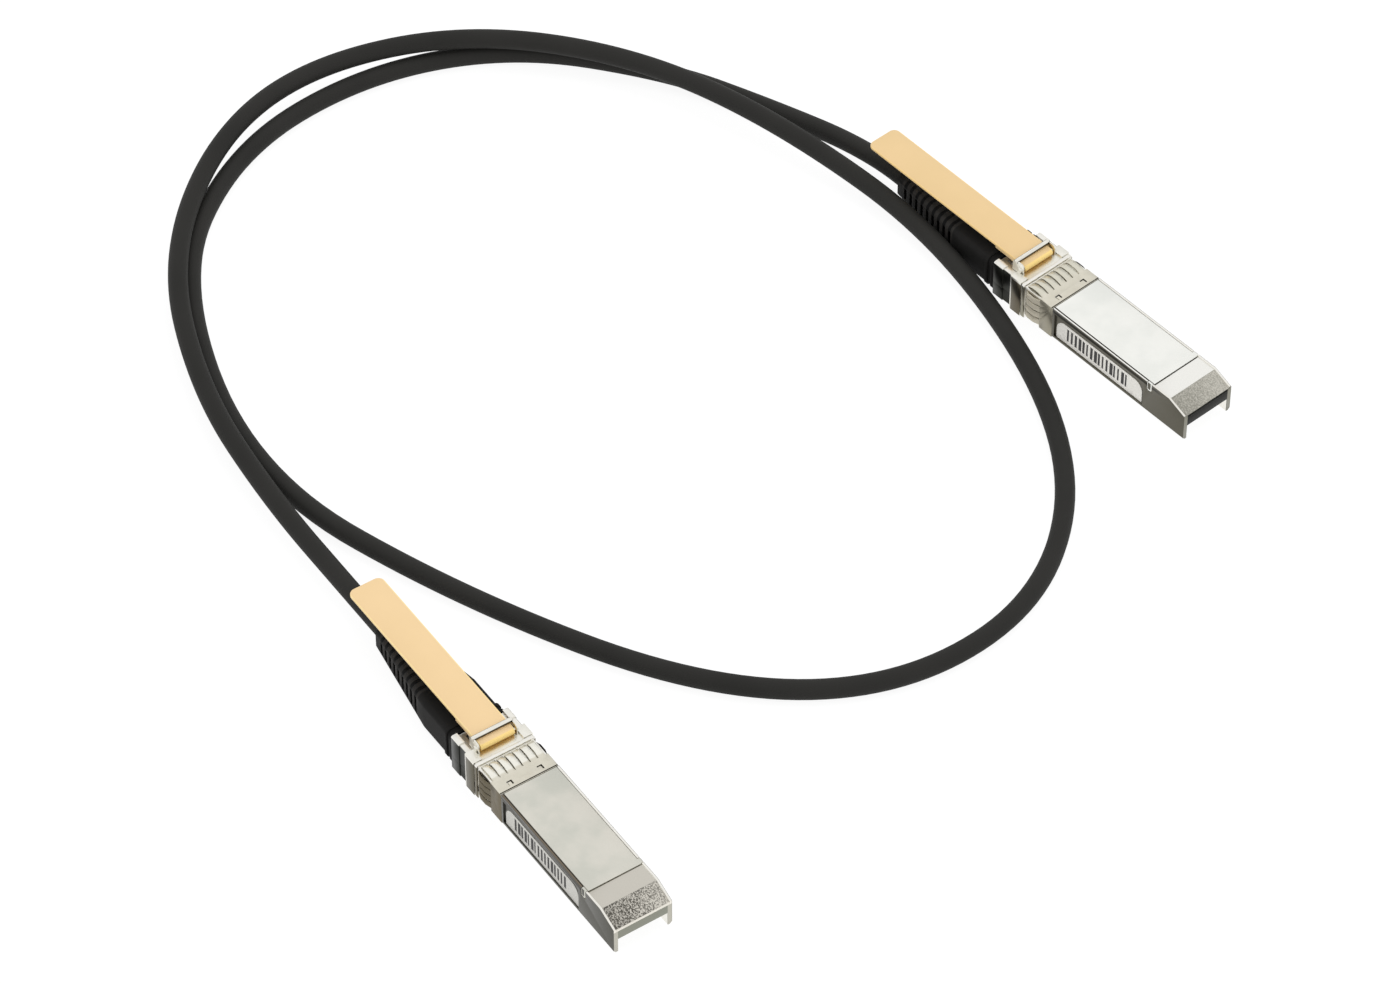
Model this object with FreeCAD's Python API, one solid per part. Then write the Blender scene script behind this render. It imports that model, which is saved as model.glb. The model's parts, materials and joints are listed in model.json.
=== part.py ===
import FreeCAD, Part
import math
import os
from FreeCAD import Placement, Rotation, Vector

# Direct attach copper cable: two identical small-form-factor plugs joined by one twin-axial cable.
# Every plug is drawn in its own frame, in millimetres: X = 0 at the positive stop with +X towards
# the nose, Y across the plug, Z = 0 at the underside of the body.  The whole object stands on Z = 0.

# ---- plug body
body_width = 13.4
body_height = 8.5
nose_reach = 47.5            # positive stop to nose tip
body_chamfer = 0.5           # bottom edges
wall_floor = 1.1
wall_side = 1.3
skirt_wall = 1.0             # sides of the open nose
opening_start = nose_reach - 10.4        # where the underside opens for the host connector
cover_end = nose_reach - 9.5
slope_start = nose_reach - 4.7
nose_height = 6.6            # side walls at the tip
rim_width = 0.5              # side walls stand up this wide beside the cover and the slope
slope_sink = 0.25            # the nose's top lies this far below its rims
nose_roof = 3.55             # underside of the nose roof
roof_setback = 0.2           # the mouth ends this far in front of the cover
bulkhead = 1.4
fit_gap = 0.1                # general clearance between separate pieces
seat_gap = 0.05              # clearance under sheet-metal pieces
cut_over = 1.0               # cutters reach this far past a face

# ---- backshell
backshell_length = 9.4
shell_drop = 0.7             # backshell reaches this far below the body
shell_top = 8.8
flange_length = 0.8
flange_width = 13.7
shell_width = 13.4
shell_corner = 0.5
parting_height = 3.0
rear_block = 2.8             # full section behind the latch's track
track_start = -backshell_length + rear_block
track_width = 13.0
track_bottom = -0.3
track_top = 8.45
trough_width = 10.5
trough_floor = 7.95
rear_wall = 1.2
tongue_reach = 8.0           # upper shell under the grounding collar
tongue_bottom = 7.1

# ---- grounding collar
collar_start = 0.15
collar_end = 8.35
collar_wall = 0.2
finger_root = 4.6
finger_bulge = 0.42
finger_gap = 0.28
finger_tip = 0.15            # tips start this far in front of the collar's rear end
row_margin = 0.5             # plain wall beside a row of fingers
top_fingers = 7
side_fingers = 4
gate_bridge = 0.8            # ring left whole in front of the latch's gate
lance_size = 1.1
lance_side = 3.5             # centre of a lance from the middle plane
lance_setback = 2.0
lance_slit = 0.15

# ---- cover, label
cover_start = 8.5
cover_plate = 0.4
clip_length = 1.3
clip_wall = 0.3
clip_drop = 2.1
recess_depth = 0.4
recess_start = cover_start + 0.6
recess_end = cover_end - 2.6
recess_bottom = 1.0
recess_top = 7.2
label_wall = 0.08
label_corner = 2.4
label_margin = 0.5
label_top = 6.1

# ---- paddle card
card_start = 4.0
card_end = nose_reach - 3.2
card_width = 9.2
card_wall = 1.0
card_bottom = 2.25
card_corner = 0.6
pad_count = 10
pad_pitch = 0.8
pad_width = 0.5
pad_length = 3.2
pad_wall = 0.05
pad_setback = 0.4
chip_size = (3.0, 4.4, 1.1)
chip_centre = 15.5
capacitor_size = (1.0, 0.5, 0.5)
capacitor_rows = (19.5, 22.5)
capacitor_side = 3.0
ledge_width = 1.7

# ---- latch slider
slider_wall = 0.3
slider_length = 3.1
slider_end = -flange_length - 2 * fit_gap
slider_start = slider_end - slider_length
slider_width = 13.8
slider_top = 8.8
slider_travel = 1.8
slider_lift = 0.02           # running clearance above the lowest plane
tray_width = 9.7             # inside the two upright jogs
tray_top = 8.35
ear_length = 3.2
ear_end = slider_end - 1.7
ear_start = ear_end - ear_length
slider_tail = ear_start - fit_gap
ear_top = 10.95
ear_corner = 0.8
ear_inside = 4.3
bar_start = ear_start + 0.4
bar_length = 1.0
bar_height = 0.45
pin_x = ear_end - 0.95
pin_z = 9.3
pin_radius = 0.35
pin_head_radius = 0.6
tine_inside = 1.5
tine_width = 1.4
tine_clearance = 0.15
tine_reach = 6.7
tine_ramp = 1.4              # length of the step up into its channel
tine_join = 0.3
cam_length = 1.3
cam_drop = 0.4
tine_bottom = 0.1
boss_start = 2.5             # latch shoulder
boss_length = 2.6
boss_width = 2.6
boss_height = 0.45
boss_land = 0.6              # level crest behind the ramp
boss_root = 0.3

# ---- return springs
spring_side = 3.0
spring_height = 7.05
spring_radius = 0.68
spring_wire = 0.12
spring_turns = 4
spring_steps = 10            # chords in one turn
spring_sides = 6             # flats round the wire
spring_wall = 1.0            # shell behind the springs
spring_back = -backshell_length + spring_wall
lug_front = slider_end - 2.0

# ---- pull tab
tab_width = 7.8
tab_wall = 0.6
tab_corner = 1.5
tab_weld_length = 4.4
tab_weld_wall = 0.55
tab_weld_start = pin_x - 3.95
tab_weld_end = tab_weld_start - tab_weld_length
tab_overhang = 8.5           # free end past the boot

# ---- cable and strain relief
cable_diameter = 4.2
cable_height = 3.4           # axis above the underside of the body
ferrule_wall = 0.35
ferrule_length = 4.0
collet_length = 1.3
ferrule_start = -backshell_length + rear_wall + collet_length
ferrule_end = ferrule_start + ferrule_length
jacket_end = ferrule_end - 0.5
core_radius = 0.45
core_offset = 0.55
core_straight = 2.6          # cores leave the jacket straight
core_lead = 2.2              # cores are level this far before the card
core_overlap = 4.0           # soldered length on the card
boot_block_length = 11.1
boot_tail_length = 22.5
boot_block = -backshell_length - boot_block_length       # rear end of the full-width block
boot_end = boot_block - boot_tail_length
route_inside = 9.0           # the cable starts straight, this deep in the boot
route_outside = 13.0         # and turns first this far behind it
route_start = boot_end + route_inside
route_exit = boot_end - route_outside
tab_end = boot_end - tab_overhang
boot_width = 12.2
boot_top = 7.6
boot_bottom = -0.3
boot_corner = 1.3
boot_tail = 5.8
slot_count = 9               # flexing slots in each side of the tail
slot_pitch = 2.0
slot_width = 0.9
slot_depth = 0.75            # depth at the tail's own surface
slot_first = boot_end + 2.4
slot_margin = 0.15           # flat left above and below a slot
rib_height = 0.3
rib_width = 0.8
rib_setbacks = (1.2, 3.0)    # rear faces behind the backshell
neck_width = 7.2
neck_bottom = 1.2
neck_top = 5.6
collet_width = 8.8

# ---- lay-out on the table: place of each positive stop and heading of each nose
lay_width = 109.9            # between the two stops, left to right
lay_depth = 131.7            # and front to back
lay_centre = (-2.05, 0.85)   # brings the middle of all the rigid pieces over the origin
plugs = {
    "a": (lay_centre[0] - lay_width / 2, lay_centre[1] - lay_depth / 2, -55.75),
    "b": (lay_centre[0] + lay_width / 2, lay_centre[1] + lay_depth / 2, -48.7),
}

# Points of the cable between its two plugs, chosen by hand; it lies on the table and passes once over
# itself in a long low hump.  They belong to the drawn lay-out and spread with it.
drawn_spread = (109.9, 131.7)
bench = cable_diameter / 2
cable_points = [
    (-106.5, 7.5, 2.4),
    (-122.2, 39.0, bench),
    (-130.8, 77.0, bench),
    (-123.2, 114.0, bench),
    (-104.0, 137.0, 2.4),
    (-70.0, 142.6, 7.3),
    (-33.5, 134.3, 7.3),
    (-3.0, 116.2, 2.6),
    (31.4, 81.2, bench),
    (56.0, 26.5, bench),
    (50.4, -16.0, bench),
    (21.8, -42.7, bench),
    (-17.8, -42.7, bench),
    (-67.1, -18.7, bench),
    (-108.5, 16.6, bench),
    (-125.6, 72.0, bench),
    (-118.5, 109.5, bench),
    (-93.0, 134.5, bench),
    (-60.0, 141.8, bench),
    (-26.0, 136.0, bench),
    (-4.0, 124.8, 2.3),
]


def box(x0, x1, y0, y1, z0, z1):
    """A box between two corners."""
    return Part.makeBox(x1 - x0, y1 - y0, z1 - z0, Vector(x0, y0, z0))


def mid_box(x0, x1, width, z0, z1):
    """A box that is centred across the plug."""
    return box(x0, x1, -width / 2, width / 2, z0, z1)


def prism(points, push):
    """A flat outline, extruded along one vector."""
    wire = Part.makePolygon([Vector(*p) for p in points + points[:1]])
    return Part.Face(wire).extrude(Vector(*push))


def side_prism(outline, y0, y1):
    """An outline in X and Z, extruded across the plug."""
    return prism([(x, y0, z) for x, z in outline], (0, y1 - y0, 0))


def end_prism(outline, x0, x1):
    """An outline in Y and Z, extruded along the plug."""
    return prism([(x0, y, z) for y, z in outline], (x1 - x0, 0, 0))


def rod(x0, x1, y, z, radius):
    """A round bar along the plug."""
    return Part.makeCylinder(radius, x1 - x0, Vector(x0, y, z), Vector(1, 0, 0))


def cross_pin(y0, y1, x, z, radius):
    """A round bar across the plug."""
    return Part.makeCylinder(radius, y1 - y0, Vector(x, y0, z), Vector(0, 1, 0))


def both_sides(shape):
    """The shape and its mirror image across the plug's middle plane."""
    return [shape, shape.mirror(Vector(0, 0, 0), Vector(0, 1, 0))]


def edges_along(shape, axis, keep):
    """Straight edges that run along one axis and whose middle satisfies the test."""
    found = []
    for edge in shape.Edges:
        if len(edge.Vertexes) != 2:
            continue
        run = edge.Vertexes[1].Point.sub(edge.Vertexes[0].Point)
        if run.Length > 1e-6 and abs(abs(run.dot(axis)) - run.Length) < 1e-6:
            if keep(edge.CenterOfMass):
                found.append(edge)
    return found


def round_section(x, width, bottom, top, corner):
    """A closed rounded rectangle across the plug at one X."""
    y, r = width / 2 - corner, corner
    zlow, zhigh = bottom + corner, top - corner
    edges = []
    sides = [((y, zlow), 0), ((y, zhigh), 90), ((-y, zhigh), 180), ((-y, zlow), 270)]
    for (cy, cz), start in sides:
        def rim(angle, cy=cy, cz=cz):
            a = math.radians(angle)
            return Vector(x, cy + r * math.cos(a), cz + r * math.sin(a))
        edges.append(Part.Arc(rim(start - 90), rim(start - 45), rim(start)).toShape())
    wires = []
    for i, edge in enumerate(edges):
        after = edges[(i + 1) % len(edges)]
        wires += [edge, Part.makeLine(edge.valueAt(edge.LastParameter), after.valueAt(after.FirstParameter))]
    return Part.Wire(wires)


def smooth_path(points):
    """Straight runs joined by tangent arcs, each as large as its two runs allow."""
    points = [Vector(*p) for p in points]
    edges, radii, last = [], [], points[0]
    for before, corner, after in zip(points, points[1:], points[2:]):
        back, ahead = before.sub(corner), after.sub(corner)
        reach = 0.45 * min(back.Length, ahead.Length)
        back.normalize()
        ahead.normalize()
        half_turn = (math.pi - back.getAngle(ahead)) / 2
        radius = reach / math.tan(half_turn)
        start, end = corner + back * reach, corner + ahead * reach
        inward = (back + ahead).normalize()
        middle = corner + inward * (radius / math.cos(half_turn) - radius)
        edges += [Part.LineSegment(last, start).toShape(), Part.Arc(start, middle, end).toShape()]
        radii.append(radius)
        last = end
    edges.append(Part.LineSegment(last, points[-1]).toShape())
    return Part.Wire(edges), radii


def pipe(points, radius):
    """A round solid that follows a smooth path."""
    path, radii = smooth_path(points)
    start = Vector(*points[0])
    heading = Vector(*points[1]).sub(start)
    ring = Part.Wire(Part.makeCircle(radius, start, heading))
    return path.makePipeShell([ring], True, True), path, radii


# ---------------------------------------------------------------- shells
def shell_halves():
    """The backshell's outer form, whole: flange, sliding track, rear block and open trough."""
    rear = mid_box(-backshell_length, track_start, shell_width, -shell_drop, shell_top)
    rear = rear.makeFillet(shell_corner, edges_along(rear, Vector(1, 0, 0), lambda c: True))
    track = mid_box(track_start, -flange_length, track_width, track_bottom, track_top)
    flange = mid_box(-flange_length, 0, flange_width, -shell_drop, shell_top)
    flange = flange.makeFillet(shell_corner, edges_along(flange, Vector(1, 0, 0), lambda c: True))
    trough = mid_box(-backshell_length, -flange_length, trough_width, trough_floor, shell_top + cut_over)
    return rear.fuse([track, flange]).cut(trough)


def shell_cavity():
    """The room inside the backshell: boot collet, ferrule seat and wire space."""
    neck = mid_box(-backshell_length, -backshell_length + rear_wall, neck_width, neck_bottom, neck_top)
    collet_start = -backshell_length + rear_wall
    collet = mid_box(collet_start, ferrule_start, collet_width, neck_bottom, neck_top)
    seat = rod(collet_start, ferrule_end + fit_gap, 0, cable_height, cable_diameter / 2 + ferrule_wall)
    wires = mid_box(ferrule_end, 0, collet_width, neck_bottom, neck_top)
    return neck.fuse([collet, seat, wires])


def spring_pockets():
    """Two open troughs for the return springs and the slider's lugs."""
    half = spring_radius + spring_wire + fit_gap
    pocket = box(spring_back, lug_front + 2 * fit_gap, spring_side - half, spring_side + half,
                 spring_height - half, trough_floor)
    return both_sides(pocket)


def tine_channels():
    """Channels beside the latch boss, where the slider's two tines run."""
    channel = box(slider_end - slider_travel - 4 * fit_gap, tine_reach + 7 * fit_gap,
                  tine_inside - tine_clearance, tine_inside + tine_width + tine_clearance,
                  -shell_drop, tine_bottom + slider_wall + tine_clearance)
    return both_sides(channel)


def body_block():
    """The tray of the plug body with its nose, before the halves are parted."""
    half = body_width / 2
    inner = half - collar_wall - seat_gap
    side = [(0, 0), (nose_reach, 0), (nose_reach, nose_height), (slope_start, body_height), (0, body_height)]
    block = side_prism(side, -half, half)
    chamfered = edges_along(block, Vector(1, 0, 0), lambda c: c.z < fit_gap)
    block = block.makeChamfer(body_chamfer, chamfered)
    band = mid_box(0, cover_start, body_width + cut_over, -cut_over, body_height + cut_over)
    core = mid_box(0, cover_start, 2 * inner, collar_wall, tongue_bottom)
    return block.cut(band).fuse(core)


def nose_cuts():
    """The sunk cover seat, nose top and slope between the two rims, and the open underside."""
    inside, between = body_width / 2 - skirt_wall, body_width / 2 - rim_width
    run = nose_reach - slope_start
    fall = (body_height - nose_height) / run
    past, above, below = nose_reach + cut_over, body_height + cut_over, -cut_over
    seat, sunk = body_height - cover_plate, body_height - slope_sink
    top = [(cover_start - cut_over, seat), (cover_end, seat), (cover_end, sunk), (slope_start, sunk),
           (past, nose_height - slope_sink - fall * cut_over), (past, above), (cover_start - cut_over, above)]
    roof_start = cover_end + roof_setback
    mouth = [(opening_start, below), (past, below), (past, nose_roof), (roof_start, nose_roof),
             (roof_start, card_bottom), (opening_start, card_bottom)]
    return [side_prism(top, -between, between), side_prism(mouth, -inside, inside)]


def lower_shell():
    """Die-cast tray: lower backshell, body, card ledges, latch boss and the whole nose."""
    half = body_width / 2
    bottom = mid_box(-backshell_length, 0, flange_width + cut_over, -shell_drop, parting_height)
    shape = shell_halves().common(bottom).fuse(body_block()).cut(shell_cavity())
    room_end = cover_end - bulkhead
    room = mid_box(0, room_end, body_width - 2 * wall_side, card_bottom, body_height + cut_over)
    well = mid_box(0, room_end, body_width - 2 * (wall_side + ledge_width), wall_floor, card_bottom)
    card_slot = mid_box(room_end - cut_over, nose_reach, card_width + 2 * fit_gap,
                        card_bottom, card_bottom + card_wall + fit_gap)
    shape = shape.cut([room, well, card_slot] + nose_cuts() + tine_channels())
    recess = box(recess_start, recess_end, half - recess_depth, half + cut_over, recess_bottom, recess_top)
    notch_start, notch_end = cover_end - clip_length - 3 * fit_gap, cover_end - fit_gap
    notch = box(notch_start, notch_end, half - clip_wall, half + cut_over,
                body_height - clip_drop - fit_gap, body_height + cut_over)
    saddle = box(notch_start, notch_end, half - rim_width - cut_over, half, body_height - cover_plate,
                 body_height + cut_over)
    for cutter in (recess, notch, saddle):
        shape = shape.cut(both_sides(cutter))
    boss_end = boss_start + boss_length
    boss = [(boss_start, boss_root), (boss_start, -boss_height), (boss_start + boss_land, -boss_height),
            (boss_end, 0), (boss_end, boss_root)]
    return shape.fuse(side_prism(boss, -boss_width / 2, boss_width / 2)).removeSplitter()


def upper_shell():
    """Die-cast lid of the backshell with the tongue that the grounding collar holds down."""
    top = mid_box(-backshell_length, 0, flange_width + cut_over, parting_height, shell_top + cut_over)
    tongue = mid_box(0, tongue_reach, body_width - 2 * (collar_wall + seat_gap), tongue_bottom,
                     body_height - collar_wall - seat_gap)
    shape = shell_halves().common(top).fuse(tongue).cut(shell_cavity()).cut(spring_pockets())
    return shape.removeSplitter()


def top_cover():
    """Stamped plate between the body's rims, with a clip at each front corner bent down over the side."""
    half, edge = body_width / 2, body_width / 2 - rim_width - fit_gap
    seat = body_height - cover_plate
    plate = mid_box(cover_start, cover_end - fit_gap, 2 * edge, seat, body_height)
    clip_end = cover_end - 2 * fit_gap
    clip_start = clip_end - clip_length
    arm = box(clip_start, clip_end, edge, half, seat, body_height)
    clip = box(clip_start, clip_end, half - clip_wall, half, body_height - clip_drop, seat)
    rounded = edges_along(clip, Vector(0, 1, 0), lambda c: c.z < body_height - clip_drop + fit_gap)
    clip = clip.makeFillet(clip_length * 0.45, rounded)
    return plate.fuse(both_sides(arm) + both_sides(clip)).removeSplitter()


# ---------------------------------------------------------------- grounding collar
def finger_strip(width):
    """One arched spring finger on a flat, its root at the band and its tip by the stop."""
    tip = collar_start + finger_tip
    rise = (finger_root - tip) / 3
    top = [(finger_root, collar_wall), (finger_root - rise, collar_wall + finger_bulge),
           (tip + rise * 0.8, collar_wall + finger_bulge), (tip, collar_wall)]
    low = [(x, z - collar_wall) for x, z in reversed(top)]
    return side_prism(top + low, -width / 2, width / 2)


def finger_row(count, span, turn, away, keep_out=0):
    """A row of fingers on one wall of the collar, left open where the latch works."""
    pitch = span / count
    fingers = []
    for i in range(count):
        across = (i + 0.5) * pitch - span / 2
        if abs(across) < keep_out:
            continue
        finger = finger_strip(pitch - finger_gap)
        finger.translate(Vector(0, across, away))
        finger.rotate(Vector(0, 0, body_height / 2), Vector(1, 0, 0), turn)
        fingers.append(finger)
    return fingers


def emi_collar():
    """Stamped grounding collar: a band round the body with arched fingers on its rear half."""
    half, top = body_width / 2 - seat_gap, body_height - seat_gap
    outer = mid_box(finger_root, collar_end, 2 * half, 0, top)
    inner = mid_box(finger_root - cut_over, collar_end + cut_over, 2 * (half - collar_wall),
                    collar_wall, top - collar_wall)
    gate = tine_inside + tine_width + 2 * tine_clearance
    opening = mid_box(0, collar_end - gate_bridge, 2 * gate, -cut_over, cut_over)
    band = outer.cut([inner, opening])
    x, y, z = collar_end - lance_setback, lance_side - lance_size / 2, top - collar_wall
    lance = box(x, x + lance_size, y, y + lance_size, z, z + cut_over)
    flap = box(x + lance_slit, x + lance_size, y, y + lance_size - lance_slit, z, z + cut_over)
    band = band.cut(both_sides(lance.cut(flap)))
    wide, tall = 2 * (half - row_margin), body_height - 2 * row_margin - collar_wall
    rows = finger_row(top_fingers, wide, 0, top - collar_wall)
    for turn in (90, -90):
        rows += finger_row(side_fingers, tall, turn, body_height / 2 + half - collar_wall)
    rows += finger_row(top_fingers, wide, 180, body_height - collar_wall, gate + row_margin)
    return band.fuse(rows).removeSplitter()


# ---------------------------------------------------------------- card
def paddle_card():
    """Printed card whose front edge plugs into the host."""
    card = mid_box(card_start, card_end, card_width, card_bottom, card_bottom + card_wall)
    corners = edges_along(card, Vector(0, 0, 1), lambda c: c.x > card_end - fit_gap)
    return card.makeChamfer(card_corner, corners)


def contact_pads():
    """Gold pads on both faces of the card's front edge."""
    pads = []
    for i in range(pad_count):
        y = (i - (pad_count - 1) / 2) * pad_pitch
        for z in (card_bottom - pad_wall, card_bottom + card_wall):
            pads.append(box(card_end - pad_setback - pad_length, card_end - pad_setback,
                            y - pad_width / 2, y + pad_width / 2, z, z + pad_wall))
    return Part.makeCompound(pads)


def card_components():
    """The identity memory chip and four decoupling capacitors."""
    top = card_bottom + card_wall
    length, width, height = chip_size
    parts = [mid_box(chip_centre - length / 2, chip_centre + length / 2, width, top, top + height)]
    length, width, height = capacitor_size
    for x in capacitor_rows:
        for y in (-capacitor_side, capacitor_side):
            parts.append(box(x - length / 2, x + length / 2, y - width / 2, y + width / 2, top, top + height))
    return Part.makeCompound(parts)


def crimp_ferrule():
    """Metal ring crimped over the cable's braid, clamped between the shells."""
    radius = cable_diameter / 2
    ring = rod(ferrule_start, ferrule_end, 0, cable_height, radius + ferrule_wall)
    return ring.cut(rod(ferrule_start - cut_over, ferrule_end + cut_over, 0, cable_height, radius))


def wire_pairs():
    """Two pairs of insulated conductors from the cable to both faces of the card."""
    cores = []
    for side in (-1, 1):
        for up in (-1, 1):
            start = (side * core_offset, cable_height + up * core_offset)
            face = card_bottom + (card_wall if up > 0 else 0)
            end = (side * 2 * core_offset, face + up * core_radius)
            points = [Vector(jacket_end, *start), Vector(jacket_end + core_straight, *start),
                      Vector(card_start - core_lead, *end), Vector(card_start + core_overlap, *end)]
            ring = Part.Wire(Part.makeCircle(core_radius, points[0], Vector(1, 0, 0)))
            cores.append(Part.makePolygon(points).makePipeShell([ring], True, False, 1))
    return Part.makeCompound(cores)


# ---------------------------------------------------------------- latch
def slider_band():
    """The stamped strip that wraps the backshell, with the sunk tray on top."""
    wall, half, low = slider_wall, slider_width / 2, -shell_drop + slider_lift
    tray = tray_width / 2

    def loop(side, jog, bottom, tray_level, top):
        right = [(side, bottom), (side, top), (jog, top), (jog, tray_level)]
        return right + [(-y, z) for y, z in reversed(right)]

    outer = end_prism(loop(half, tray, low, tray_top, slider_top), slider_start, slider_end)
    inner = end_prism(loop(half - wall, tray + wall, low + wall, tray_top - wall, slider_top - wall),
                      slider_start, slider_end)
    return outer.cut(inner)


def slider_ear():
    """An upright ear that carries the cross bar and the strap pin."""
    ear = box(ear_start, ear_end, ear_inside, ear_inside + slider_wall, tray_top - slider_wall, ear_top)
    tops = edges_along(ear, Vector(0, 1, 0), lambda c: c.z > ear_top - fit_gap)
    return ear.makeFillet(ear_corner, tops)


def slider_tine():
    """A flat tine beside the latch boss, with a cam at its tip."""
    low, wall, step = -shell_drop + slider_lift, slider_wall, slider_end + 2 * fit_gap
    run = [(slider_end - tine_join, low), (step, low), (step + tine_ramp, tine_bottom),
           (tine_reach - cam_length, tine_bottom), (tine_reach, tine_bottom - cam_drop)]
    outline = run + [(x - fit_gap, z + wall) for x, z in reversed(run[1:])] + [(run[0][0], low + wall)]
    return side_prism(outline, tine_inside, tine_inside + tine_width)


def latch_slider():
    """Sliding latch: wrap, tray, ears, cross bar, strap pin, spring lugs and the two tines."""
    tail_width, bar_top = 2 * (ear_inside + slider_wall), ear_top - seat_gap
    tail = mid_box(slider_tail, slider_start, tail_width, tray_top - slider_wall, tray_top)
    bar = mid_box(bar_start, bar_start + bar_length, 2 * ear_inside, bar_top - bar_height, bar_top)
    pin = cross_pin(-ear_inside, ear_inside, pin_x, pin_z, pin_radius)
    head = cross_pin(ear_inside + slider_wall, ear_inside + 2 * slider_wall, pin_x, pin_z, pin_head_radius)
    lug = box(lug_front - slider_wall, lug_front, spring_side - spring_radius, spring_side + spring_radius,
              spring_height - spring_radius, tray_top - slider_wall)
    pieces = [tail, bar, pin]
    for piece in (slider_ear(), head, lug, slider_tine()):
        pieces += both_sides(piece)
    return slider_band().fuse(pieces).removeSplitter()


def return_springs():
    """Two small compression springs that push the slider towards the nose."""
    room = lug_front - slider_wall - spring_back - 2 * spring_wire
    count = spring_turns * spring_steps
    step = 2 * math.pi / spring_steps
    points = []
    for i in range(count + 1):
        points.append(Vector(spring_back + spring_wire + room * i / count,
                             spring_side + spring_radius * math.cos(i * step),
                             spring_height + spring_radius * math.sin(i * step)))
    heading = points[1].sub(points[0])
    outward = Vector(0, math.cos(step / 2), math.sin(step / 2)) * spring_wire
    corners = []
    for i in range(spring_sides):
        corners.append(points[0] + Rotation(heading, 360 * (i + 0.5) / spring_sides).multVec(outward))
    ring = Part.makePolygon(corners + corners[:1])
    coil = Part.makePolygon(points).makePipeShell([ring], True, False, 1)
    return Part.makeCompound(both_sides(coil))


def pull_tab():
    """Flexible strap: looped round the slider's pin, doubled and welded, then one long flat tongue."""
    top = pin_z + pin_radius + tab_wall
    under = top - tab_wall
    outer = pin_radius + tab_wall
    tongue = mid_box(tab_end, pin_x, tab_width, under, top)
    corners = edges_along(tongue, Vector(0, 0, 1), lambda c: c.x < tab_end + fit_gap)
    tongue = tongue.makeFillet(tab_corner, corners)
    roll = cross_pin(-tab_width / 2, tab_width / 2, pin_x, pin_z, outer)
    weld_low = under - tab_weld_wall
    fold = [(pin_x, pin_z - outer), (tab_weld_start, weld_low), (tab_weld_end, weld_low),
            (tab_weld_end, under), (pin_x, under)]
    fold = side_prism(fold, -tab_width / 2, tab_width / 2)
    eye = cross_pin(-tab_width, tab_width, pin_x, pin_z, pin_radius)
    return tongue.fuse([roll, fold]).cut(eye).removeSplitter()


# ---------------------------------------------------------------- strain relief and label
def boot_form():
    """The boot's outer form: a tapering tail and a block of even section, every long edge rounded."""
    tail_low, tail_high = cable_height - boot_tail / 2, cable_height + boot_tail / 2
    side = [(boot_end, tail_low), (boot_block, boot_bottom), (-backshell_length, boot_bottom),
            (-backshell_length, boot_top), (boot_block, boot_top), (boot_end, tail_high)]
    half = boot_width / 2
    right = [(boot_end, boot_tail / 2), (boot_block, half), (-backshell_length, half)]
    plan = [(x, y, boot_bottom) for x, y in right] + [(x, -y, boot_bottom) for x, y in reversed(right)]
    form = side_prism(side, -half, half).common(prism(plan, (0, 0, boot_top - boot_bottom)))
    long_edges = [edge for edge in form.Edges if abs(edge.Vertexes[0].X - edge.Vertexes[1].X) > boot_corner]
    return form.makeFillet(boot_corner, long_edges)


def tail_slots():
    """Flexing slots in the two flat sides of the tail, taller and wider apart as the tail grows."""
    slots = []
    for i in range(slot_count):
        x = slot_first + i * slot_pitch
        share = (x - boot_end) / (boot_block - boot_end)

        def between(tail, block, share=share):
            return tail + share * (block - tail)

        low = between(cable_height - boot_tail / 2, boot_bottom) + boot_corner + slot_margin
        high = between(cable_height + boot_tail / 2, boot_top) - boot_corner - slot_margin
        floor = between(boot_tail, boot_width) / 2 - slot_depth
        slots += both_sides(box(x, x + slot_width, floor, boot_width, low, high))
    return slots


def strain_relief_boot():
    """Moulded boot: a slotted flexible tail, a block with two ribs and a collet inside the shells."""
    ribs = []
    for setback in rib_setbacks:
        x = -backshell_length - setback
        end = round_section(x, boot_width + 2 * rib_height, boot_bottom, boot_top + rib_height, boot_corner)
        ribs.append(Part.Face(end).extrude(Vector(rib_width, 0, 0)))
    neck = mid_box(-backshell_length, -backshell_length + rear_wall, neck_width, neck_bottom, neck_top)
    collet = mid_box(-backshell_length + rear_wall, ferrule_start, collet_width, neck_bottom, neck_top)
    bore = rod(boot_end - cut_over, ferrule_start + cut_over, 0, cable_height, cable_diameter / 2)
    return boot_form().cut(tail_slots()).fuse(ribs + [neck, collet]).cut(bore).removeSplitter()


def side_label():
    """Blank paper label in the recess on the plug's left side."""
    y = -(body_width / 2 - recess_depth)
    start, end = recess_start + label_margin, recess_end - label_margin
    label = box(start, end, y - label_wall, y, recess_bottom, label_top)
    upper = edges_along(label, Vector(0, 1, 0), lambda c: c.z > label_top - fit_gap)
    return label.makeFillet(label_corner, upper)


# ---------------------------------------------------------------- lay-out
def on_table(key):
    """Placement of one plug on the table."""
    x, y, heading = plugs[key]
    return Placement(Vector(x, y, shell_drop), Rotation(Vector(0, 0, 1), heading))


def cable_route():
    """Turning points of the cable, from inside boot a to inside boot b."""
    ends = [Vector(route_start, 0, cable_height), Vector(route_exit, 0, cable_height)]
    head = [tuple(on_table("a").multVec(p)) for p in ends]
    tail = [tuple(on_table("b").multVec(p)) for p in reversed(ends)]
    wider, deeper = lay_width / drawn_spread[0], lay_depth / drawn_spread[1]
    return head + [(x * wider, y * deeper, z) for x, y, z in cable_points] + tail


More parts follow.
